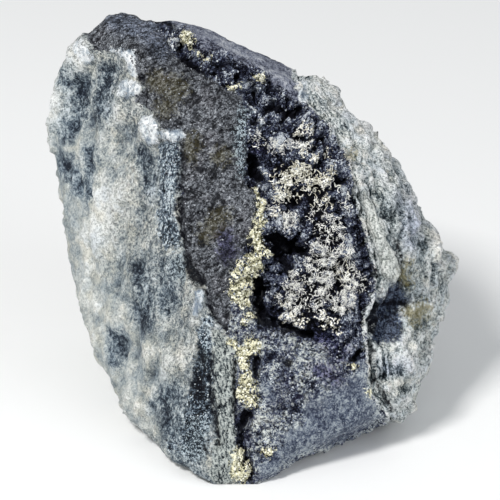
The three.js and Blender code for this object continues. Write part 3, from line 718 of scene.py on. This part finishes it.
class Finish:
    """A material, its nodes and the patterns its rocks share."""

    def __init__(self, name):
        self.material = bpy.data.materials.new(name)
        self.material.use_nodes = True
        self.tree = self.material.node_tree
        self.tree.nodes.clear()
        place = self.node("ShaderNodeTexCoord", {}, {}, "Object")
        self.place = self.node("ShaderNodeVectorMath", {"operation": "SCALE"}, {0: place, "Scale": 1 / MM})

    def node(self, kind, settings, sockets, output=0):
        """Adds a node, first its settings and then the values or links of its sockets."""
        made = self.tree.nodes.new(kind)
        for key, value in settings.items():
            if key == "stops":
                ramp = made.color_ramp
                while len(ramp.elements) < len(value):
                    ramp.elements.new(0.5)
                for element, (position, colour) in zip(ramp.elements, value):
                    element.position = position
                    element.color = colour
            else:
                setattr(made, key, value)
        for key, value in sockets.items():
            if isinstance(value, Signal):
                self.tree.links.new(value.socket, made.inputs[key])
            else:
                made.inputs[key].default_value = value
        return Signal(self, made.outputs[output])

    def maths(self, operation, *terms):
        return self.node("ShaderNodeMath", {"operation": operation}, dict(enumerate(terms)))

    def most(self, *shares):
        """The largest of several shares."""
        largest = shares[0]
        for share in shares[1:]:
            largest = self.maths("MAXIMUM", largest, share)
        return largest

    def mark(self, name):
        """A number kept on the mesh."""
        return self.node("ShaderNodeAttribute", {"attribute_name": name}, {}, "Fac")

    def noise(self, wave, detail=2.0, rough=0.5, place=None):
        return self.node("ShaderNodeTexNoise", {}, {
            "Vector": place or self.place, "Scale": 1 / wave, "Detail": detail, "Roughness": rough}, "Fac")

    def cells(self, wave):
        return self.node("ShaderNodeTexVoronoi", {}, {"Vector": self.place, "Scale": 1 / wave}, "Distance")

    def lines(self, position, period, warp):
        """Thin parallel lines: 1 on a line and 0 between them, a period apart, in mm."""
        swing = (position * (1 / period) + warp) * math.tau
        return self.step(self.maths("SINE", swing), 0.1, 0.9)

    def stretched(self, sizes, turn=(0, 0, 0)):
        """Places in which a pattern comes out longer by these sizes, and turned."""
        return self.node("ShaderNodeMapping", {"vector_type": "TEXTURE"}, {
            "Vector": self.place, "Rotation": turn, "Scale": sizes})

    def step(self, value, low, high):
        """A straight rise from 0 at the low value to 1 at the high one."""
        return self.node("ShaderNodeMapRange", {"clamp": True}, {
            "Value": value, "From Min": low, "From Max": high})

    def ramp(self, value, *stops):
        """A colour for each value. A stop is a position from 0 to 1, and then red, green and blue."""
        painted = [(position, paint(*colour)) for position, *colour in stops]
        return self.node("ShaderNodeValToRGB", {"stops": painted}, {"Fac": value}, "Color")

    def blend(self, share, first, second, kind="MIX"):
        return self.node("ShaderNodeMix", {"data_type": "RGBA", "blend_type": kind}, {
            "Factor": share, 6: first, 7: second}, 2)

    def surface(self, colour, rough, metal=0.0, height=None, lift=0.1, **more):
        sockets = {"Base Color": colour, "Roughness": rough, "Metallic": metal, **more}
        if height is not None:
            sockets["Normal"] = self.node("ShaderNodeBump", {}, {
                "Height": height, "Distance": lift * MM, "Strength": 1.0}, "Normal")
        shader = self.node("ShaderNodeBsdfPrincipled", {}, sockets)
        end = self.tree.nodes.new("ShaderNodeOutputMaterial")
        self.tree.links.new(shader.socket, end.inputs["Surface"])
        print("material", self.material.name, "has nodes:", len(self.tree.nodes))
        return self.material


# %% [markdown]
# ## The stone's material
# One material carries the whole stone, because its rocks grew into each other and share every edge. Each
# rock has its own ramp from its darkest speck to its palest, driven by a mixture of coarse and fine noise
# and by the relief, which paints light on the crests and shade in the hollows.
# The marks kept on the mesh say where each rock is, and a little noise on each border makes it ragged.

# %% Noises that the rocks share
rock = Finish("vein_rock")
ragged = 1.6 * (rock.noise(0.9, 4, 0.7) - 0.5) + 0.9 * (rock.noise(0.3, 2, 0.7) - 0.5)
coarse = rock.noise(5.0, 2)
medium = rock.noise(1.7, 3, 0.6)
fine = rock.noise(0.6, 3, 0.7)
speck = rock.noise(0.3, 2, 0.8)
streak = rock.noise(1.8, 3, 0.6, rock.stretched((1.0, 1.0, 3.5), (LEAN, 0, 0)))
fibre = rock.noise(0.5, 3, 0.6, rock.stretched((1, 1, 6), (LEAN, 0.15, 0)))
# Painted light and shade: every rock's ramp below is lighter on the crests and darker in the hollows.
relief_light_and_shade = rock.mark("relief")
# Small pits, sunk by the bump. The host and the right wall are painted darker in them as painted shade in
# the pits.
shaded_pits = rock.step(fine + 0.35 * (speck - 0.5), 0.455, 0.40)
# Pale and dark patches of the rock, mixed with painted light on raised forms and painted shade on sunken
# ones.
shade = rock.mark("shade")
blue = rock.mark("blue")

# %% Colour of the host rock
past_host = rock.mark("past_host")
past_vein = rock.mark("past_vein")
broken = rock.step(past_host, -17.0, -5.0) * 0.6 + 0.4
host_tone = (
    0.2 * coarse + 0.398 + 0.05 * relief_light_and_shade
    + blue * (0.3 * (medium - 0.5) + 0.4 * (fine - 0.5))
    + broken * (0.2 * (streak - 0.5) + 0.14 * (medium - 0.5) + 0.2 * (fibre - 0.5)
                + 0.28 * (fine - 0.5) + 0.24 * (speck - 0.5)))
host_colour = rock.ramp(
    host_tone + 0.085 * shade - 0.06 * blue + 0.018,
    (0.34, 30, 37, 48), (0.40, 86, 95, 104), (0.45, 126, 136, 142),
    (0.49, 160, 168, 170), (0.55, 200, 203, 199), (0.62, 238, 240, 238))
warmth = rock.step(rock.noise(3.6, 3, 0.6), 0.48, 0.62) * (1 - blue)
chill = rock.step(rock.noise(4.4, 3, 0.6), 0.52, 0.38)


def stained(colour):
    """A colour with warm and cold patches laid over it."""
    colour = rock.blend(0.75 * warmth, colour, paint(252, 247, 238), "MULTIPLY")
    return rock.blend(0.6 * chill, colour, paint(224, 231, 240), "MULTIPLY")


host_colour = rock.blend(0.8 * blue, stained(host_colour), paint(218, 227, 237), "MULTIPLY")
# Painted shade in the small pits.
host_colour = rock.blend(0.3 * broken * shaded_pits, host_colour, paint(60, 68, 78))
flecked = rock.noise(0.4, 2, 0.6, rock.stretched((1, 1, 2), (LEAN, 0.2, 0)))
flecks = rock.step(flecked + 0.2 * (medium - 0.5), 0.42, 0.385)
host_colour = rock.blend(0.6 * broken * flecks, host_colour, paint(38, 44, 54))

# %% Colour of the slab
# Painted shade in the slab: its creases, its pocks and fine scratches are painted very dark.
hollow = rock.step(rock.mark("hollow") + 1.2 * ragged, 0.25, 0.7)
scratched = rock.noise(0.5, 3, 0.7, rock.stretched((2.2, 1, 1), (LEAN, -0.6, 0)))
shaded_pocks = rock.step(scratched + 0.3 * (medium - 0.5), 0.47, 0.43)
slab_colour = rock.ramp(
    0.15 * coarse + 0.1 * medium + 0.4 * fine + 0.35 * speck + 0.05 * relief_light_and_shade + 0.06 * shade
    + 0.02 * blue,
    (0.42, 50, 52, 58), (0.47, 88, 91, 96), (0.52, 112, 116, 123),
    (0.57, 138, 143, 150), (0.63, 196, 200, 206))
slab_colour = rock.blend(rock.step(coarse, 0.52, 0.64) * 0.25, slab_colour, paint(88, 80, 86))
slab_colour = rock.blend(0.9 * blue, slab_colour, paint(224, 233, 252), "MULTIPLY")
slab_colour = rock.blend(0.85 * rock.most(hollow, shaded_pocks), slab_colour, paint(8, 9, 16))

# %% Colours of the vein
# The band is painted darker where the wires clump: painted shade under the wires.
band_colour = rock.ramp(
    0.2 * medium + 0.45 * fine + 0.35 * speck + 0.08 * relief_light_and_shade
    + 0.09 * rock.step(rock.mark("grey") + ragged, -0.5, 0.8) - 0.05 * rock.mark("nest"),
    (0.42, 3, 4, 12), (0.475, 24, 26, 46), (0.52, 66, 72, 96),
    (0.58, 126, 136, 154), (0.66, 216, 222, 228))
massive_colour = rock.ramp(
    0.1 * coarse + 0.28 * medium + 0.42 * fine + 0.35 * speck + 0.1 * relief_light_and_shade + 0.1 * shade - 0.04,
    (0.41, 6, 8, 22), (0.45, 44, 50, 72), (0.495, 100, 109, 131),
    (0.545, 154, 163, 174), (0.61, 228, 233, 228))
massive_colour = rock.blend(rock.step(coarse, 0.53, 0.43) * 0.25, massive_colour, paint(66, 62, 92))
# Painted shade in the gaps between the grains of the massive ore.
grain_gap_shade = rock.step(rock.cells(0.7), 0.58, 0.72)
massive_colour = rock.blend(0.7 * grain_gap_shade, massive_colour, paint(12, 14, 30))
facet_colour = rock.ramp(
    0.2 * coarse + 0.3 * medium + 0.3 * fine + 0.2 * speck, (0.42, 42, 49, 68),
    (0.5, 86, 96, 114), (0.57, 132, 142, 154))
massive_colour = rock.blend(rock.mark("facet") * 0.8, massive_colour, facet_colour)
ridge_colour = rock.ramp(
    0.25 * coarse + 0.25 * medium + 0.3 * fine + 0.2 * speck + 0.08 * relief_light_and_shade,
    (0.4, 46, 48, 64), (0.46, 112, 117, 134), (0.52, 152, 157, 172),
    (0.6, 200, 203, 210))

# %% Colour of the right wall
threads = rock.lines(past_vein, 0.65, 1.6 * medium + 4.5 * coarse + 0.5 * fine)
threads = threads * rock.step(past_vein, 6.5, 3.0) * rock.step(streak, 0.38, 0.48)
leaves = rock.lines(rock.mark("leaf"), 0.6, 2.5 * medium + 2.0 * coarse + 0.8 * fine) * rock.mark("wedge")
right_colour = rock.ramp(
    0.15 * fibre + 0.3 * medium + 0.3 * fine + 0.25 * speck + 0.07 * relief_light_and_shade + 0.09 * shade
    + 0.05 * rock.mark("strand") - 0.1 * threads - 0.04 * blue + 0.06,
    (0.36, 14, 20, 28), (0.42, 78, 89, 94), (0.47, 150, 160, 162),
    (0.52, 205, 212, 212), (0.58, 240, 244, 243), (0.66, 252, 253, 253))
# Painted shade in the small pits.
right_colour = rock.blend(0.35 * shaded_pits, stained(right_colour), paint(58, 68, 76))
right_colour = rock.blend(0.45 * flecks, right_colour, paint(34, 42, 46))
right_colour = rock.blend(0.7 * blue, right_colour, paint(222, 225, 242), "MULTIPLY")
lens_colour = rock.ramp(
    0.4 * streak + 0.35 * fine + 0.25 * speck - 0.06 * threads, (0.41, 132, 138, 134),
    (0.48, 206, 210, 205), (0.55, 242, 244, 240))
right_colour = rock.blend(rock.mark("lens") * 0.85, right_colour, lens_colour)

# %% Colours of the small forms
wedge_colour = rock.ramp(
    0.4 * fibre + 0.35 * fine + 0.25 * speck + 0.1 * relief_light_and_shade + 0.1 * shade + 0.03 - 0.08 * leaves,
    (0.4, 16, 20, 28), (0.45, 72, 80, 86), (0.5, 132, 141, 141),
    (0.58, 206, 212, 208))
mica_colour = rock.ramp(
    0.55 * fibre + 0.45 * fine + 0.4 * speck + 0.06 * relief_light_and_shade + 0.08 * shade - 0.185,
    (0.43, 5, 7, 15), (0.475, 32, 42, 58), (0.525, 80, 96, 112),
    (0.575, 142, 160, 174), (0.63, 222, 232, 238))
frost_colour = rock.ramp(
    0.6 * fine + 0.4 * speck, (0.43, 14, 18, 26), (0.49, 74, 88, 100),
    (0.57, 190, 205, 213))
# Dark navy for the recesses: the rock's own colour together with painted shadow.
recess_shadow_colour = rock.ramp(
    0.3 * medium + 0.4 * fine + 0.3 * speck, (0.44, 8, 11, 28), (0.5, 36, 45, 72),
    (0.57, 104, 120, 144))
quartz_colour = rock.ramp(
    0.3 * coarse + 0.45 * medium + 0.25 * fine + 0.06 * relief_light_and_shade + 0.05 * shade,
    (0.42, 128, 140, 154), (0.48, 190, 199, 206), (0.54, 236, 239, 241))
crust_colour = rock.ramp(
    0.2 * medium + 0.4 * fine + 0.4 * speck, (0.45, 14, 14, 18), (0.485, 134, 131, 100),
    (0.53, 212, 209, 172), (0.59, 246, 245, 228))


# %% Rocks in their places
def edge(name, rag, soft=0.1):
    """A mark in mm turned into a share with a ragged edge: 1 inside its form, 0 outside."""
    return rock.step(rock.mark(name) + rag * ragged, -soft, soft)


colour = rock.blend(rock.mark("front"), massive_colour, band_colour)
colour = rock.blend(edge("over_gully", 2.0, 0.3), massive_colour, colour)
colour = rock.blend(edge("over_ridge", 3.0, 0.4), colour, ridge_colour)
colour = rock.blend(edge("past_slab", 1.5), slab_colour, colour)
colour = rock.blend(edge("past_host", 1.0), host_colour, colour)
colour = rock.blend(edge("past_vein", 1.0), colour, right_colour)
colour = rock.blend(rock.step(rock.mark("wedge") + 0.6 * ragged, 0.4, 0.6), colour, wedge_colour)
colour = rock.blend(edge("mica", 2.5, 0.2) * 0.95, colour, mica_colour)
colour = rock.blend(edge("recess", 2.5, 0.3) * 0.95, colour, recess_shadow_colour)
colour = rock.blend(edge("frost", 3.5, 0.4) * 0.85, colour, frost_colour)
# A violet tint that darkens: painted shade on the first violet patch, and the rock's own tint on the
# others.
colour = rock.blend(edge("violet", 4.0, 0.7) * 0.85, colour, paint(150, 144, 190), "MULTIPLY")
rusty = edge("olive", 4.0, 0.7)
colour = rock.blend(rusty * 0.4, colour, paint(218, 208, 164), "MULTIPLY")
colour = rock.blend(rusty * (0.15 + 0.5 * rock.step(past_vein, 0.0, 1.0)), colour, paint(134, 124, 76))
colour = rock.blend(edge("quartz", 1.5, 0.15), colour, quartz_colour)
colour = rock.blend(edge("crust", 3.0, 0.06), colour, crust_colour)
# Painted shadow: the deep hollows are painted very dark.
colour = rock.blend(edge("black", 2.5, 0.25) * 0.96, colour, paint(6, 7, 18))

# %% Skin of the stone
glint = rock.step(rock.cells(0.5), 0.16, 0.1)
height = 0.6 * fine + 0.4 * speck - 0.12 * rock.most(shaded_pits, hollow, threads, leaves)
height = height * (1 - 0.5 * rock.most(rock.mark("facet"), edge("quartz", 1.5, 0.15))) * broken
stone.data.materials.append(rock.surface(
    colour, rough=0.7 - 0.3 * glint, height=height, lift=0.75, **{"Specular IOR Level": 0.15}))
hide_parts("ore_stone")
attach(stone, "root")

# %% [markdown]
# ## Where things grow
# The silver and the loose grains sit in clumps, with bare dark rock between them. A growth is therefore a
# share from 0 to 1 at every point: it is high inside the listed forms or inside a band, on the crests
# of the relief and on one side of a fine noise, and it fades out elsewhere. The wires read it straight from
# its array, and the grains from the skin, where it is kept as an attribute.

# %% Growths
clump = field(1.25, seed=40)
fine_clump = field(0.6, seed=41)
crest = ease(relief, -0.7, 0.5)
bare = ease(depths["black"] + 0.3 * jitter, 0.3, -0.1)


def growth(kind, clumped, spread=0.3):
    """How thickly a kind grows: inside its forms, on crests, off the shadow-painted hollows and in clumps.
    """
    inside = ease(depths[kind] + 0.7 * jitter, -0.4, spread)
    return front * inside * bare * (0.15 + 0.85 * crest) * clumped


curl_clumps = ease(0.3 * clump + 0.9 * fine_clump, -0.06, 0.12)
hair_clumps = ease(0.2 * clump + 0.9 * fine_clump, -0.05, 0.11)
grown = {
    "curls": growth("curls", curl_clumps),
    "hairs": growth("hairs", hair_clumps),
    "tufts": growth("tufts", ease(fine_clump, -0.4, 0.1)),
    "crust": front * ease(depths["crust"] + 0.5 * jitter, 0.0, 0.25) * ease(fine_clump, -0.04, 0.2),
}
grown["popcorn"] = np.maximum(grown["tufts"], 0.1 * grown["curls"])
grey = ease(depths["grey"] + 0.4 * jitter, -0.4, 0.5)
crystals_of_ore = 0.35 * massive * (1 - facet) * ease(front, 0.6, 1.0)
grown["ore"] = front * bare * np.clip(band * crest + crystals_of_ore + 0.6 * grey, 0, 1)
grown["ore"] *= ease(clump + 0.5 * fine_clump, -0.3, 0.2) * (1 - 0.7 * nest)
grown["slab"] = front * slab * bare
grown["mica"] = front * ease(depths["mica"], -0.3, 0.5)
grown["quartz"] = front * ease(depths["quartz"], 0.0, 0.5)
for kind, share in grown.items():
    keep("grow_" + kind, share * off_floor[:, 0])
    print("growth of", kind, "covers, share of the skin:", round(float(np.mean(share > 0.3)), 3))

# %% [markdown]
# ## Wires of native silver
# Native silver grows out of the ore like hair out of a root: a thin, curling wire that keeps its thickness.
# A curve is the natural tool for it. Each wire is one short open spline that turns a little at every step,
# and a bevel gives them all their thickness. Every wire has only a few dozen faces, since there are
# so many. Roots are drawn at random from the skin's own triangles, by area and by growth.

# %% Roots
CHANCE_SEED = 7
chance = np.random.default_rng(CHANCE_SEED)
corners = np.empty(len(stone.data.polygons) * 3, dtype=np.int64)
stone.data.polygons.foreach_get("vertices", corners)
corners = corners.reshape(-1, 3)
triangle = places[corners]
facing = np.cross(triangle[:, 1] - triangle[:, 0], triangle[:, 2] - triangle[:, 0])
areas = np.linalg.norm(facing, axis=1) / 2
facing = facing / np.maximum(areas * 2, 1e-12)[:, None]
middles = triangle.mean(axis=1)


def roots(kind, number):
    """Random places on the skin and the way they face, drawn where a kind grows."""
    weight = areas * grown[kind][corners].mean(axis=1) * (facing @ OUT > 0.0)
    picked = chance.choice(len(weight), number, p=weight / weight.sum())
    return middles[picked], facing[picked]


# %% Growing wires
# Each wire starts a little under the skin, in mm. Its thickness lies between these two shares of what is
# asked, and its tip loses half of it. The axis that it turns about wanders a little at every step.
ROOT_DEPTH = 0.15
THINNER_TO_THICKER = (0.6, 1.3)
TIP_LOSS = 0.5
WANDER = 0.35


def wires(name, kind, number, length, thickness, curl, steps):
    """Grows many wires as one curve, and turns it into a mesh. Lengths are in mm, and curl in radians."""
    curve = bpy.data.curves.new(name, "CURVE")
    curve.dimensions = "3D"
    curve.bevel_depth = thickness / 2 * MM
    curve.bevel_resolution = 0
    curve.use_fill_caps = True
    for place, away in zip(*roots(kind, number)):
        heading = Vector(away * 0.8 + OUT * 0.6 + chance.normal(0, 0.7, 3)).normalized()
        axis = Vector(chance.normal(0, 1, 3)).normalized()
        stride = chance.uniform(*length) / steps * MM
        turn = chance.choice((-1, 1)) * chance.uniform(0.5, 1.2) * curl
        point = Vector(place - away * ROOT_DEPTH * MM)
        spline = curve.splines.new("POLY")
        spline.points.add(steps)
        size = chance.uniform(*THINNER_TO_THICKER)
        for step, end in enumerate(spline.points):
            end.co = (*point, 1)
            end.radius = size * (1.0 - TIP_LOSS * (step / steps) ** 2)
            heading.rotate(Quaternion(axis, turn))
            axis = (axis + Vector(chance.normal(0, WANDER, 3))).normalized()
            point = point + heading * stride
    holder = bpy.data.objects.new(name + "_curve", curve)
    bpy.context.scene.collection.objects.link(holder)
    bpy.context.view_layer.update()
    made = bpy.data.objects.new(name, bpy.data.meshes.new_from_object(holder))
    bpy.data.objects.remove(holder)
    bpy.context.scene.collection.objects.link(made)
    for polygon in made.data.polygons:
        polygon.use_smooth = True
    print(name, "triangles:", sum(len(polygon.vertices) - 2 for polygon in made.data.polygons))
    return made


curls = wires(
    "silver_curls", "curls", number=560, length=(0.8, 1.5), thickness=0.2, curl=0.6, steps=8)
hairs = wires(
    "silver_hairs", "hairs", number=3400, length=(0.5, 1.1), thickness=0.17, curl=0.55, steps=6)
long_hairs = wires(
    "silver_long_wires", "curls", number=10, length=(1.6, 2.4), thickness=0.16, curl=0.25, steps=9)

# %% [markdown]
# ## Grains
# Loose grains and small crystals are strewn over the skin by Geometry Nodes. Distribute Points on Faces
# takes its density from the growth kept on the skin, each point gets a tone of its own for the material to
# read, an instance of a seed is turned and sized at random, and Realize Instances makes one real mesh.
# The seeds are an icosphere of 20 faces with its corners pushed about, and a pointed six-sided prism.

# %% Seeds
def seed_of(name, build):
    made = bpy.data.objects.new(name, bpy.data.meshes.new(name))
    bpy.context.scene.collection.objects.link(made)
    edit(made, build)
    return made


def lumpy(shape):
    """A grain: a ball of 20 faces, 1 mm across, whose corners each move in or out by up to 0.15 mm."""
    bmesh.ops.create_icosphere(shape, subdivisions=1, radius=0.5 * MM)
    for vert in shape.verts:
        vert.co *= chance.uniform(0.7, 1.3)


def pointed(shape):
    """A crystal: a six-sided prism with a low point on one end."""
    bmesh.ops.create_cone(
        shape, cap_ends=True, segments=6, radius1=0.35 * MM, radius2=0.35 * MM, depth=0.9 * MM)
    tip = max(shape.faces, key=lambda face: face.calc_center_median().z)
    bmesh.ops.poke(shape, faces=[tip], offset=0.3 * MM)


grain_seed = seed_of("grain_seed", lumpy)
crystal_seed = seed_of("crystal_seed", pointed)


# %% Strewing grains
def strewn(name, seed, kind, density, sizes, salt):
    """A mesh of copies of a seed, strewn over the skin as thickly as a kind grows there.

    The density is in copies per square millimetre of full growth, the sizes are the smallest and largest
    scale of a copy, and the salt keeps the random draws of one call apart from those of the others.
    """
    tree = bpy.data.node_groups.new(name, "GeometryNodeTree")
    tree.interface.new_socket("Geometry", in_out="OUTPUT", socket_type="NodeSocketGeometry")

    def add(node_type, settings=(), **sockets):
        made = tree.nodes.new(node_type)
        for key, value in dict(settings).items():
            setattr(made, key, value)
        for key, value in sockets.items():
            socket = made.inputs[key.replace("_", " ")]
            if isinstance(value, bpy.types.NodeSocket):
                tree.links.new(value, socket)
            else:
                socket.default_value = value
        return made

    skin = add("GeometryNodeObjectInfo", Object=stone).outputs["Geometry"]
    share = add("GeometryNodeInputNamedAttribute", Name="grow_" + kind).outputs["Attribute"]
    thick = add("ShaderNodeMath", {"operation": "MULTIPLY"})
    tree.links.new(share, thick.inputs[0])
    thick.inputs[1].default_value = density / MM ** 2
    points = add("GeometryNodeDistributePointsOnFaces", Mesh=skin, Density=thick.outputs[0], Seed=salt)
    tone = add("FunctionNodeRandomValue", {"data_type": "FLOAT"}, Seed=salt + 1).outputs[1]
    toned = add("GeometryNodeStoreNamedAttribute", {"data_type": "FLOAT"},
                Geometry=points.outputs["Points"], Name="tone", Value=tone)
    turn = add("FunctionNodeRandomValue", {"data_type": "FLOAT_VECTOR"}, Seed=salt + 2)
    turn.inputs[1].default_value = (math.tau, math.tau, math.tau)
    size = add("FunctionNodeRandomValue", {"data_type": "FLOAT"}, Seed=salt + 3)
    size.inputs[2].default_value, size.inputs[3].default_value = sizes
    grain = add("GeometryNodeObjectInfo", Object=seed).outputs["Geometry"]
    copies = add("GeometryNodeInstanceOnPoints", Points=toned.outputs[0], Instance=grain,
                 Rotation=add("FunctionNodeEulerToRotation", Euler=turn.outputs[0]).outputs[0],
                 Scale=size.outputs[1])
    real = add("GeometryNodeRealizeInstances", Geometry=copies.outputs[0]).outputs[0]
    tree.links.new(real, add("NodeGroupOutput").inputs[0])
    made = bpy.data.objects.new(name, bpy.data.meshes.new(name))
    bpy.context.scene.collection.objects.link(made)
    made.modifiers.new("strewn", "NODES").node_group = tree
    finished(made)
    print(name, "triangles:", sum(len(polygon.vertices) - 2 for polygon in made.data.polygons))
    return made


ore_grains = strewn("ore_grains", grain_seed, "ore", density=11, sizes=(0.15, 0.42), salt=11)
popcorn = strewn("silver_popcorn", grain_seed, "popcorn", density=32, sizes=(0.16, 0.42), salt=21)
crust_grains = strewn("crust_grains", grain_seed, "crust", density=34, sizes=(0.2, 0.45), salt=31)
slab_grit = strewn("slab_grit", grain_seed, "slab", density=1.5, sizes=(0.12, 0.3), salt=41)
mica_flakes = strewn("mica_flakes", grain_seed, "mica", density=3, sizes=(0.12, 0.32), salt=51)
crystals = strewn("quartz_crystals", crystal_seed, "quartz", density=1, sizes=(0.3, 0.7), salt=61)
for seed in (grain_seed, crystal_seed):
    bpy.data.objects.remove(seed)

# %% [markdown]
# ## Finishes of the small things
# Silver is nearly white where it is bright and brown-grey where it is tarnished. The grains have one ramp
# each, read from the tone that every grain was given, with a little noise so that no grain is one flat
# colour.

# %% Small finishes
silver = Finish("native_silver")
tarnish = 0.5 * silver.noise(1.2, 2) + 0.5 * silver.noise(0.25, 2)
silver_colour = silver.ramp(
    tarnish, (0.4, 116, 110, 92), (0.46, 204, 200, 180), (0.51, 244, 242, 230),
    (0.6, 255, 255, 250))
silver_finish = silver.surface(silver_colour, rough=0.35 + 0.3 * (1 - tarnish), metal=0.05,
                             height=silver.noise(0.12, 2), lift=0.03)

greyed = Finish("tarnished_silver")
tarnish = 0.5 * greyed.noise(0.9, 2) + 0.5 * greyed.noise(0.25, 2)
greyed_finish = greyed.surface(
    greyed.ramp(tarnish, (0.38, 84, 87, 100), (0.44, 160, 163, 170),
                (0.49, 236, 235, 228), (0.58, 254, 254, 250)),
    rough=0.4 + 0.3 * (1 - tarnish), metal=0.05, height=greyed.noise(0.12, 2), lift=0.03)


def grain_finish(name, stops, rough):
    """A finish for grains: a ramp over each grain's own tone, with a fine noise laid over it."""
    finish = Finish(name)
    tone = finish.mark("tone") + 1.2 * (finish.noise(0.2, 2) - 0.5)
    return finish.surface(finish.ramp(tone, *stops), rough=rough + 0.2 * finish.noise(0.3, 1),
                          height=finish.noise(0.12, 2), lift=0.03, **{"Specular IOR Level": 0.25})


popcorn_finish = grain_finish("silver_crumbs", (
    (0.1, 140, 136, 124), (0.3, 226, 222, 206), (0.6, 250, 248, 238),
    (0.9, 255, 255, 252)), 0.45)
ore_finish = grain_finish("ore_grains", (
    (0.05, 6, 7, 18), (0.45, 34, 38, 60), (0.75, 76, 84, 108),
    (0.92, 142, 151, 168), (1.0, 222, 228, 232)), 0.4)
crust_finish = grain_finish("cream_crust", (
    (0.05, 120, 117, 92), (0.3, 212, 208, 176), (0.65, 240, 237, 212),
    (0.95, 252, 252, 242)), 0.6)
slab_finish = grain_finish("slab_grit", (
    (0.1, 8, 9, 15), (0.5, 52, 54, 62), (0.8, 90, 92, 100),
    (0.98, 186, 190, 198)), 0.4)
# The palest flakes are painted glints, nearly white spots that stand in for light caught on mica. The rest
# of the flakes have the rock's own dark colour.
mica_painted_glint_finish = grain_finish("mica_flakes", (
    (0.1, 14, 20, 32), (0.5, 58, 70, 84), (0.8, 104, 120, 133),
    (0.98, 226, 234, 238)), 0.3)

# %% Clear crystals
quartz = Finish("quartz_crystal")
cloud = quartz.noise(0.7, 2)
quartz_finish = quartz.surface(
    quartz.ramp(cloud, (0.4, 214, 222, 228), (0.6, 250, 251, 252)),
    rough=0.12 + 0.2 * cloud, **{"Transmission Weight": 0.6, "IOR": 1.54})

for piece, finish, slot in (
        (curls, silver_finish, "native_silver"), (hairs, greyed_finish, "native_silver"),
        (long_hairs, silver_finish, "native_silver"), (popcorn, popcorn_finish, "native_silver"),
        (ore_grains, ore_finish, "vein_ore"), (slab_grit, slab_finish, "vein_ore"),
        (crust_grains, crust_finish, "pale_crust"), (mica_flakes, mica_painted_glint_finish, "host_rock"),
        (crystals, quartz_finish, "quartz")):
    piece.data.materials.clear()
    piece.data.materials.append(finish)
    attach(piece, "root")
